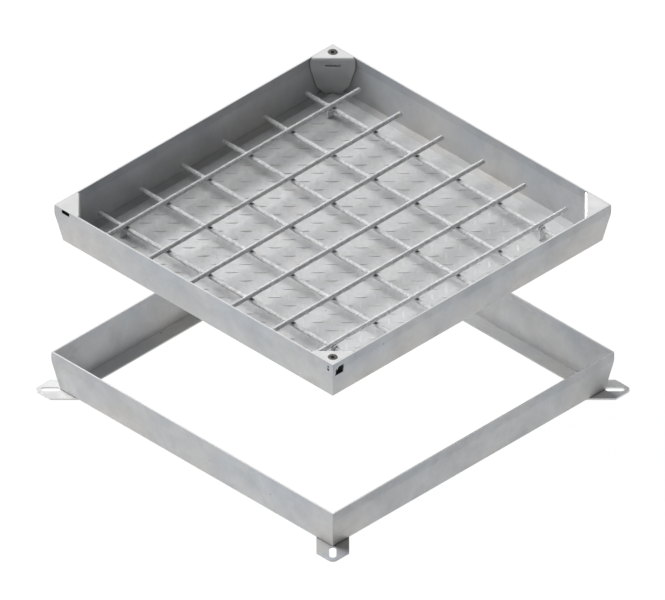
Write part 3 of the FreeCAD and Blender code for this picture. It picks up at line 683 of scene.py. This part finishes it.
def raise_rings(shape: Shape, rings: Sequence[Ring], segments: int) -> list[bmesh.types.BMVert]:
    """Extrudes a circle of edges through rings about the Z axis, and closes both ends.

    Args:
        shape: the mesh that the form is added to.
        rings: each gives radius and height for an angle.
        segments: edges in each ring.

    Returns:
        The new vertices.
    """
    verts = bmesh.ops.create_circle(shape, cap_ends=False, radius=1.0, segments=segments)["verts"]
    edges = list({edge for vert in verts for edge in vert.link_edges})
    settle(verts, rings[0])
    made = list(verts)
    bmesh.ops.contextual_create(shape, geom=edges)
    for ring in rings[1:]:
        grown = bmesh.ops.extrude_edge_only(shape, edges=edges)["geom"]
        verts = [item for item in grown if isinstance(item, bmesh.types.BMVert)]
        fresh = set(verts)
        edges = [item for item in grown if isinstance(item, bmesh.types.BMEdge) and fresh.issuperset(item.verts)]
        settle(verts, ring)
        made += verts
    bmesh.ops.contextual_create(shape, geom=edges)
    return made


def along(start: Vector, stop: Vector) -> Matrix:
    """The matrix that brings the Z axis from the origin onto the line from start to stop."""
    turn = (stop - start).normalized().to_track_quat("Z", "Y").to_matrix().to_4x4()
    return Matrix.Translation(start) @ turn


def add_lump(shape: Shape, size: Sequence[float], place: Vector) -> None:
    """Adds a round lump of metal.

    Args:
        shape: the mesh that the lump is added to.
        size: half its lengths along X, Y and Z.
        place: its middle.
    """
    lump = bmesh.ops.create_icosphere(shape, subdivisions=2, radius=1.0)["verts"]
    bmesh.ops.scale(shape, vec=size, verts=lump)
    bmesh.ops.translate(shape, vec=place, verts=lump)


@dataclass(frozen=True)
class WeldBead:
    """A weld seam: a rippled bead along a line, tapered at both ends."""

    radius: float
    ripple: float = 0.12
    ripple_pitch: float = 0.0022
    unevenness: float = 0.08
    end_size: float = 0.25
    end_growth: float = 300.0
    least_rings: int = 4
    segments: int = 8

    def lay(self, shape: Shape, start: Vector, stop: Vector, dice: random.Random) -> None:
        """Adds a bead to a mesh.

        Args:
            shape: the mesh that the bead is added to.
            start: where the bead starts.
            stop: where it ends.
            dice: seeded chance for its unevenness.
        """
        length = (stop - start).length
        count = max(self.least_rings, int(length / self.ripple_pitch * 2))
        rings = []
        for index in range(count + 1):
            share = index / count
            ripple = self.ripple if index % 2 else -self.ripple
            swell = 1.0 + ripple + dice.uniform(-self.unevenness, self.unevenness)
            taper = min(1.0, self.end_size + self.end_growth * min(share, 1.0 - share) * length)
            rings.append(circle_ring(self.radius * swell * taper, share * length))
        verts = raise_rings(shape, rings, self.segments)
        bmesh.ops.transform(shape, matrix=along(start, stop), verts=verts)


def corner_direction(corner: Corner) -> Vector:
    """The corner's diagonal, pointing outwards."""
    angle = math.radians(corner.value)
    return Vector((math.cos(angle), math.sin(angle), 0.0))


# Sub-assemblies


@dataclass
class SubAssembly:
    """Pieces that belong together, and the finishes they are given."""

    palette: Palette

    def dress(self, stem: str, places: Iterable[Enum], slot: Slot) -> None:
        """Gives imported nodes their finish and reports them.

        Args:
            stem: what their names start with.
            places: the sides or corners that their names end with.
            slot: the slot they take their finish from.
        """
        for place in places:
            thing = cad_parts[f"{stem}_{place.name.lower()}"]
            if not thing.material_slots:
                thing.data.materials.append(self.palette.materials[slot])
            for holder in thing.material_slots:
                holder.material = self.palette.materials[slot]
            LOG.info("%s: finished as %s", thing.name, slot.value)


@dataclass
class FoldedRing(SubAssembly):
    """Four folded sides, mitred and welded at their corners."""

    prefix: str
    label: str
    slot: Slot
    lip_height: float = 0.018
    wall_inset: float = 0.0105
    sheet: float = 0.0025
    outer_bead: WeldBead = WeldBead(0.0006)
    inner_bead: WeldBead = WeldBead(0.0011)
    bead_sink: float = 0.4
    rim_gap: float = 0.0012
    inner_rim_gap: float = 0.0035
    inner_rise: float = 0.002
    inner_inset: float = 0.0004
    seed: int = 11

    def build(self) -> None:
        """Dresses the sides and welds their corners."""
        self.dress(self.prefix, Side, self.slot)
        self.weld_corners()

    def weld_corners(self) -> None:
        """Lays a seam down each mitre, outside and inside."""
        low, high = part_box(f"{self.prefix}_{Side.FRONT_RIGHT.name.lower()}")
        half, foot, rim = high.x, low.z, high.z
        shape = bmesh.new()
        dice = random.Random(self.seed)
        for corner in Corner:
            out = corner_direction(corner) * math.sqrt(2)
            fold = rim - self.lip_height
            outer = [out * half + Vector((0, 0, rim - self.rim_gap)), out * half + Vector((0, 0, fold)),
                     out * (half - self.wall_inset) + Vector((0, 0, foot + self.sheet))]
            inner = [point - out * (self.sheet + self.inner_inset) for point in outer]
            inner[0].z -= self.inner_rim_gap
            inner[2].z += self.sheet + self.inner_rise
            for bead, points in ((self.outer_bead, outer), (self.inner_bead, inner)):
                sunk = out * bead.radius * self.bead_sink
                for start, stop in zip(points, points[1:]):
                    bead.lay(shape, start - sunk, stop - sunk, dice)
        self.palette.finish_piece(shape, f"{self.label}_corner_welds", self.slot)


@dataclass
class AnchorLugs(SubAssembly):
    """Four lugs under the frame's corners, welded to the flange at their hidden ends."""

    slot: Slot = Slot.LUG_SHEET
    bead: WeldBead = WeldBead(0.0011)
    seam_start: float = 0.006
    seam_length: float = 0.024
    seam_sink: float = 0.0004
    seam_turn: float = 135.0
    thickness: float = 0.003
    setback: float = 0.002
    notch_gap: float = 0.0006
    seed: int = 23

    def build(self) -> None:
        """Dresses the lugs and lays their seams."""
        self.dress("lug", Corner, self.slot)
        low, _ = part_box("frame_rail_front_right")
        shape = bmesh.new()
        dice = random.Random(self.seed)
        level = Vector((0, 0, self.thickness - self.seam_sink))
        for corner in Corner:
            out = corner_direction(corner)
            notch = out * (low.x * math.sqrt(2) + self.setback - self.notch_gap) + level
            for turn in (self.seam_turn, -self.seam_turn):
                way = Matrix.Rotation(math.radians(turn), 3, "Z") @ out
                start = notch + way * self.seam_start
                self.bead.lay(shape, start, notch + way * (self.seam_start + self.seam_length), dice)
        self.palette.finish_piece(shape, "lug_welds", Slot.FRAME_SHEET)


@dataclass
class TearFloor(SubAssembly):
    """The tray's floor: a plate with raised lens-shaped tears on a checkerboard, one diagonal's worn nearly flat."""

    slot: Slot = Slot.TEAR_PLATE
    thickness: float = 0.003
    pitch: float = 0.0245
    tear_length: float = 0.025
    tear_width: float = 0.0043
    tear_height: float = 0.0013
    tear_point: float = 0.35
    tear_angle: float = 45.0
    shift_front: float = 0.0045
    shift_left: float = 0.0018
    worn_height: float = 0.02
    height_range: Range = (0.88, 1.0)
    turn_range: Range = (-0.02, 0.02)
    sink: float = 0.00001
    border: float = 0.020
    edge_round: float = 0.0004
    clip_reach: float = 0.256
    clip_line: float = 0.250
    clip_width: float = 0.014
    clip_sheet: float = 0.003
    seed: int = 5

    def one_tear(self) -> bpy.types.Mesh:
        """Makes one tear about the origin, along the X axis.

        Returns:
            The upper half of a ball, drawn out to two points.
        """
        shape = bmesh.new()
        bmesh.ops.create_uvsphere(shape, u_segments=12, v_segments=6, radius=1.0)
        bmesh.ops.bisect_plane(shape, geom=shape.verts[:] + shape.edges[:] + shape.faces[:], dist=1e-5,
                               plane_co=(0, 0, 0), plane_no=(0, 0, -1), clear_outer=True)
        for vert in shape.verts:
            vert.co.y *= max(0.0, 1.0 - vert.co.x ** 2) ** self.tear_point
        size = (self.tear_length / 2, self.tear_width / 2, self.tear_height)
        bmesh.ops.scale(shape, vec=size, verts=shape.verts)
        return bake(shape, "tear")

    def under_clip(self, across: float, up: float) -> bool:
        """Tells whether a tear would reach under the foot of a mesh clip.

        Args:
            across: the tear's middle along X.
            up: its middle along Y.

        Returns:
            True where it would.
        """
        reach = self.tear_length / 2
        beside = abs(abs(across) - self.clip_reach) < reach + self.clip_sheet / 2
        return beside and abs(abs(up) - self.clip_line) < reach + self.clip_width / 2

    def spots(self, half: float) -> Iterator[tuple[float, float, float]]:
        """Middle and angle of each tear.

        Args:
            half: half the plate's side.

        Returns:
            Middle along X and Y, and angle, of one tear after another.
        """
        limit = half - self.border
        reach = int(math.sqrt(2) * limit / self.pitch) + 1
        for row in range(-reach, reach + 1):
            for column in range(-reach, reach + 1):
                across = ((column + row) * self.pitch + self.shift_front - self.shift_left) / math.sqrt(2)
                up = ((column - row) * self.pitch - self.shift_front - self.shift_left) / math.sqrt(2)
                if max(abs(across), abs(up)) <= limit and not self.under_clip(across, up):
                    yield across, up, math.radians(self.tear_angle if (row + column) % 2 else -self.tear_angle)

    def build(self) -> None:
        """Makes the plate and sets its tears on it."""
        low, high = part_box("tear_plate")
        half = high.x
        shape = bmesh.new()
        middle = Vector((0, 0, low.z + self.thickness / 2))
        made = bmesh.ops.create_cube(shape, size=1.0)
        bmesh.ops.scale(shape, vec=(2 * half, 2 * half, self.thickness), verts=made["verts"])
        bmesh.ops.translate(shape, vec=middle, verts=made["verts"])
        bmesh.ops.bevel(shape, geom=shape.edges[:], offset=self.edge_round, offset_type="OFFSET", segments=2,
                        profile=0.5, material=-1, affect="EDGES")
        tear = self.one_tear()
        dice = random.Random(self.seed)
        for across, up, angle in self.spots(half):
            worn = self.worn_height if angle < 0.0 else 1.0
            size = Matrix.Diagonal((1.0, 1.0, dice.uniform(*self.height_range) * worn, 1.0))
            turn = Matrix.Rotation(angle + dice.uniform(*self.turn_range), 4, "Z")
            place = Matrix.Translation((across, up, low.z + self.thickness - self.sink))
            struck = tear.copy()
            struck.transform(place @ turn @ size)
            shape.from_mesh(struck)
            bpy.data.meshes.remove(struck)
        bpy.data.meshes.remove(tear)
        self.palette.finish_piece(shape, "tear_floor", self.slot, ["tear_plate"], crease=50.0)


@dataclass
class WeldedMesh(SubAssembly):
    """Ribbed bars in two layers, the upper ones sunk into the lower ones by the welds at their crossings."""

    slot: Slot = Slot.MESH_BAR
    count: int = 6
    core_radius: float = 0.00405
    rib_height: float = 0.00045
    rib_pitch: float = 0.0068
    rib_slope: float = 0.0030
    rows: int = 3
    weld_sink: float = 0.0013
    step: float = 0.0014
    segments: int = 15
    end_round: float = 0.0009
    round_height: float = 0.35
    round_inset: float = 0.3
    nugget_range: Range = (0.0028, 0.0034)
    nugget_height: float = 0.0010
    # Dark lumps beside each crossing: burn marks and painted shade of the upper bar
    burn_and_shade_length: Range = (0.0024, 0.0031)
    burn_and_shade_width: Range = (0.0030, 0.0037)
    burn_and_shade_height: Range = (0.0017, 0.0022)
    burn_and_shade_offset: float = 0.0060
    burn_and_shade_drop: float = 0.0011
    seed: int = 31

    def rib(self, angle: float, height: float) -> float:
        """Height of the ribs at a point of the bar.

        Args:
            angle: angle about the bar's axis.
            height: place along the bar.

        Returns:
            What the ribs add to the radius.
        """
        sector = 2 * math.pi / self.rows
        offset = (angle % sector) - sector / 2
        crest = math.cos(2 * math.pi * (height + self.rib_slope * offset) / self.rib_pitch)
        fade = math.cos(math.pi * offset / sector)
        return self.rib_height * max(0.0, crest) * max(0.0, fade)

    def bar_ring(self, height: float, shrink: float) -> Ring:
        """One ring of a bar, pulled in by a distance near its ends."""
        return lambda angle: (self.core_radius - shrink + self.rib(angle, height) * (shrink == 0.0), height)

    def bar_shape(self, length: float) -> Shape:
        """Makes one bar along the Z axis from the origin.

        Args:
            length: the bar's length.

        Returns:
            The bar's shape.
        """
        shape = bmesh.new()
        run = length - 2 * self.end_round
        steps = int(run / self.step)
        rise, inset = self.end_round * self.round_height, self.end_round * self.round_inset
        rings = [self.bar_ring(0.0, self.end_round), self.bar_ring(rise, inset)]
        rings += [self.bar_ring(self.end_round + index / steps * run, 0.0) for index in range(steps + 1)]
        rings += [self.bar_ring(length - rise, inset), self.bar_ring(length, self.end_round)]
        raise_rings(shape, rings, self.segments)
        return shape

    def build(self) -> None:
        """Makes every bar in place of its node, and the welds between them."""
        low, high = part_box("mesh_top_bar_1")
        master = bake(self.bar_shape(high.y - low.y), "bar_pattern")
        dice = random.Random(self.seed)
        for run in BarRun:
            for number in range(1, self.count + 1):
                name = f"mesh_{run.value}_bar_{number}"
                low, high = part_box(name)
                middle = (low + high) / 2
                middle.z -= self.weld_sink if run is BarRun.TOP else 0.0
                shape = bmesh.new()
                shape.from_mesh(master)
                start, stop = middle.copy(), middle.copy()
                axis = 1 if run is BarRun.TOP else 0
                start[axis], stop[axis] = low[axis], high[axis]
                roll = Matrix.Rotation(dice.uniform(0.0, 2 * math.pi), 4, "Z")
                bmesh.ops.transform(shape, matrix=along(start, stop) @ roll, verts=shape.verts)
                self.palette.finish_piece(shape, f"ribbed_{run.value}_bar_{number}", self.slot, [name], crease=60.0)
        bpy.data.meshes.remove(master)
        self.weld_crossings(dice)

    def weld_crossings(self, dice: random.Random) -> None:
        """Squeezes a small nugget between the bars at each crossing, and puts dark lumps on the cross bar beside it:
        burn marks and painted shade of the upper bar.

        Args:
            dice: seeded chance for the sizes.
        """
        shape, burn_and_shade_lumps = bmesh.new(), bmesh.new()
        for first in range(1, self.count + 1):
            low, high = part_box(f"mesh_top_bar_{first}")
            for second in range(1, self.count + 1):
                cross_low, cross_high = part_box(f"mesh_cross_bar_{second}")
                level = (low.z + cross_high.z) / 2
                centre = Vector(((low.x + high.x) / 2, (cross_low.y + cross_high.y) / 2, level))
                size = (dice.uniform(*self.nugget_range), dice.uniform(*self.nugget_range), self.nugget_height)
                add_lump(shape, size, centre)
                # Dark lumps on both sides of the upper bar: burn marks and painted shade of the upper bar on the cross
                # bar
                for side in (-1.0, 1.0):
                    size = [dice.uniform(*limits) for limits in (self.burn_and_shade_length, self.burn_and_shade_width, self.burn_and_shade_height)]
                    add_lump(burn_and_shade_lumps, size, centre + Vector((side * self.burn_and_shade_offset, 0, -self.burn_and_shade_drop)))
        self.palette.finish_piece(shape, "mesh_weld_nuggets", self.slot)
        self.palette.finish_piece(burn_and_shade_lumps, "mesh_weld_burns_and_shade", Slot.FASTENER_STEEL)


@dataclass
class MeshClips(SubAssembly):
    """Upright clips on the tear plate, welded at their feet and round the bars they hold."""

    slot: Slot = Slot.CLIP_STRIP
    foot_bead: WeldBead = WeldBead(0.0014, ripple=0.2)
    bead_outset: float = 0.0002
    bead_inset: float = 0.0006
    bead_rise: float = 0.0003
    drops: int = 4
    drop_range: Range = (0.0006, 0.0010)
    drop_circle: float = 0.0048
    first_drop: float = 0.1
    drop_arc: float = 0.8
    seed: int = 47

    def build(self) -> None:
        """Dresses the clips and adds their welds."""
        self.dress("mesh_clip", Corner, self.slot)
        shape = bmesh.new()
        dice = random.Random(self.seed)
        for corner in Corner:
            name = f"mesh_clip_{corner.name.lower()}"
            low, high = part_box(name)
            for face in (low.x - self.bead_outset, high.x + self.bead_outset):
                start = Vector((face, low.y + self.bead_inset, low.z + self.bead_rise))
                stop = Vector((face, high.y - self.bead_inset, low.z + self.bead_rise))
                self.foot_bead.lay(shape, start, stop, dice)
            self.spatter(shape, low, high, dice)
        self.palette.finish_piece(shape, "clip_welds", self.slot)

    def spatter(self, shape: Shape, low: Vector, high: Vector, dice: random.Random) -> None:
        """Adds drops of metal where the clip meets its bar.

        Args:
            shape: the mesh that the drops are added to.
            low: the clip's lowest corner.
            high: its highest corner.
            dice: seeded chance for their sizes.
        """
        middle = (low + high) / 2
        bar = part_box("mesh_cross_bar_1")
        level = (bar[0].z + bar[1].z) / 2
        for index in range(self.drops):
            angle = math.pi * (self.first_drop + self.drop_arc * index / (self.drops - 1))
            across, rise = self.drop_circle * math.cos(angle), self.drop_circle * math.sin(angle)
            for face in (low.x, high.x):
                radius = dice.uniform(*self.drop_range)
                add_lump(shape, (radius, radius, radius), Vector((face, middle.y + across, level + rise)))


@dataclass
class CornerPlates(SubAssembly):
    """Folded corner plates, flush with the rim."""

    slot: Slot = Slot.CORNER_SHEET

    def build(self) -> None:
        """Dresses the plates and the nut plates behind them."""
        self.dress("corner_plate", Corner, self.slot)
        self.dress("nut_plate", SCREWED, self.slot)


@dataclass
class SocketScrews(SubAssembly):
    """Countersunk screws with a hexagon socket, and the nuts under them."""

    slot: Slot = Slot.FASTENER_STEEL
    head_radius: float = 0.0088
    shank_radius: float = 0.005
    tip_chamfer: float = 0.001
    socket_flats: float = 0.006
    socket_depth: float = 0.004
    socket_flare: float = 0.0008
    flare_depth: float = 0.0005
    drill_radius: float = 0.0012
    drill_depth: float = 0.0008
    rim_round: float = 0.0004
    round_inset: float = 0.3
    round_fall: float = 1.4
    top_share: float = 0.62
    segments: int = 36

    def rings(self, length: float) -> list[Ring]:
        """The screw's rings from its tip up to its socket's floor, its top at height 0.

        Args:
            length: the screw's length.

        Returns:
            One ring after another.
        """
        neck = -(self.head_radius - self.shank_radius)
        edge = self.rim_round
        inset = edge * self.round_inset
        return [
            circle_ring(self.shank_radius - self.tip_chamfer, -length),
            circle_ring(self.shank_radius, -length + self.tip_chamfer),
            circle_ring(self.shank_radius, neck),
            circle_ring(self.head_radius - inset, -edge * self.round_fall),
            circle_ring(self.head_radius, -edge),
            circle_ring(self.head_radius - inset, -inset),
            circle_ring(self.head_radius - edge, 0.0),
            circle_ring(self.head_radius * self.top_share, 0.0),
            hexagon_ring(self.socket_flats + self.socket_flare, 0.0),
            hexagon_ring(self.socket_flats, -self.flare_depth),
            hexagon_ring(self.socket_flats, -self.socket_depth),
            circle_ring(self.drill_radius, -self.socket_depth - self.drill_depth),
        ]

    def build(self) -> None:
        """Makes both screws in place of their nodes, and dresses the nuts."""
        self.dress("nut", SCREWED, Slot.CORNER_SHEET)
        for corner in SCREWED:
            name = f"screw_{corner.name.lower()}"
            low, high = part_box(name)
            shape = bmesh.new()
            raise_rings(shape, self.rings(high.z - low.z), self.segments)
            centre = Vector(((low.x + high.x) / 2, (low.y + high.y) / 2, high.z))
            turn = Matrix.Rotation(math.radians(corner.value), 4, "Z")
            bmesh.ops.transform(shape, matrix=Matrix.Translation(centre) @ turn, verts=shape.verts)
            self.palette.finish_piece(shape, f"socket_{name}", self.slot, [name], crease=35.0)


@dataclass(frozen=True)
class SoftKey:
    """A distant light, by how far left, near and high it stands, its strength and the angle it fills."""

    left: float
    near: float
    high: float
    strength: float
    angle: float


@dataclass
class Studio:
    """Plain pale floor, soft light from the left, and the camera of a parallel view down a corner."""

    azimuth: float = 45.0
    elevation: float = 35.264
    distance: float = 3.0
    far_limit: float = 100.0
    frame_width: float = 1.1368
    middle: Vector = field(default_factory=lambda: Vector((-0.00036, -0.00036, 0.1895)))
    floor_size: float = 60.0
    floor_drop: float = 0.0002
    floor_tone: Colour = (0.04, 0.04, 0.04)
    floor_glow: float = 0.985
    sky_tone: Colour = (0.98, 0.99, 1.0)
    sky: float = 0.20
    keys: tuple[SoftKey, ...] = (
        SoftKey(0.85, 0.28, 0.85, 2.2, 48.0), SoftKey(1.35, 0.24, 0.55, 3.15, 48.0), SoftKey(1.0, 0.0, 0.2, 1.1, 15.0))

    def build(self) -> None:
        """Sets up floor, light and camera."""
        self.lay_floor()
        self.light()
        self.set_camera()
        SCENE.view_settings.view_transform = "Standard"
        SCENE.view_settings.look = "None"

    def lay_floor(self) -> None:
        """Lays a wide pale floor under the cover."""
        shape = bmesh.new()
        bmesh.ops.create_grid(shape, x_segments=1, y_segments=1, size=self.floor_size / 2)
        bmesh.ops.translate(shape, vec=(0, 0, -self.floor_drop), verts=shape.verts)
        mesh = bake(shape, "studio_floor")
        material = bpy.data.materials.new("studio_floor")
        material.use_nodes = True
        shader = material.node_tree.nodes["Principled BSDF"]
        for name, value in (("Base Color", (*self.floor_tone, 1.0)), ("Roughness", 1.0), ("Specular IOR Level", 0.0),
                            ("Emission Color", (1.0, 1.0, 1.0, 1.0)), ("Emission Strength", self.floor_glow)):
            shader.inputs[name].default_value = value
        mesh.materials.append(material)
        floor = bpy.data.objects.new("studio_floor", mesh)
        SCENE.collection.objects.link(floor)

    def light(self) -> None:
        """Hangs two broad lights and a low one, all on the left, under an even, dim sky."""
        world = bpy.data.worlds.new("studio")
        SCENE.world = world
        world.use_nodes = True
        glow = world.node_tree.nodes["Background"].inputs
        glow["Color"].default_value, glow["Strength"].default_value = (*self.sky_tone, 1.0), self.sky
        for number, key in enumerate(self.keys, 1):
            lamp = bpy.data.lights.new(f"soft_key_{number}", "SUN")
            lamp.energy = key.strength
            lamp.angle = math.radians(key.angle)
            holder = bpy.data.objects.new(f"soft_key_{number}", lamp)
            holder.rotation_mode = "QUATERNION"
            holder.rotation_quaternion = Vector((-key.left, -key.near, key.high)).to_track_quat("Z", "Y")
            SCENE.collection.objects.link(holder)

    def set_camera(self) -> None:
        """Sets the camera at the photograph's angle and scale."""
        data = bpy.data.cameras.new("camera")
        data.type = "ORTHO"
        data.ortho_scale = self.frame_width
        data.clip_end = self.far_limit
        camera = bpy.data.objects.new("camera", data)
        turn, rise = math.radians(self.azimuth), math.radians(self.elevation)
        back = Vector((math.sin(turn) * math.cos(rise), -math.cos(turn) * math.cos(rise), math.sin(rise)))
        camera.location = self.middle + back * self.distance
        camera.rotation_mode = "QUATERNION"
        camera.rotation_quaternion = (-back).to_track_quat("-Z", "Y")
        SCENE.collection.objects.link(camera)
        SCENE.camera = camera


def main() -> None:
    """Builds the studio and every sub-assembly."""
    logging.basicConfig(level=logging.INFO, format="%(name)s: %(message)s")
    Studio().build()
    palette = Palette.build()
    for part in (FoldedRing(palette, "frame_rail", "frame", Slot.FRAME_SHEET), AnchorLugs(palette),
                 FoldedRing(palette, "tray_wall", "tray", Slot.TRAY_SHEET), TearFloor(palette),
                 WeldedMesh(palette), MeshClips(palette), CornerPlates(palette), SocketScrews(palette)):
        part.build()


if __name__ == "__main__":
    main()
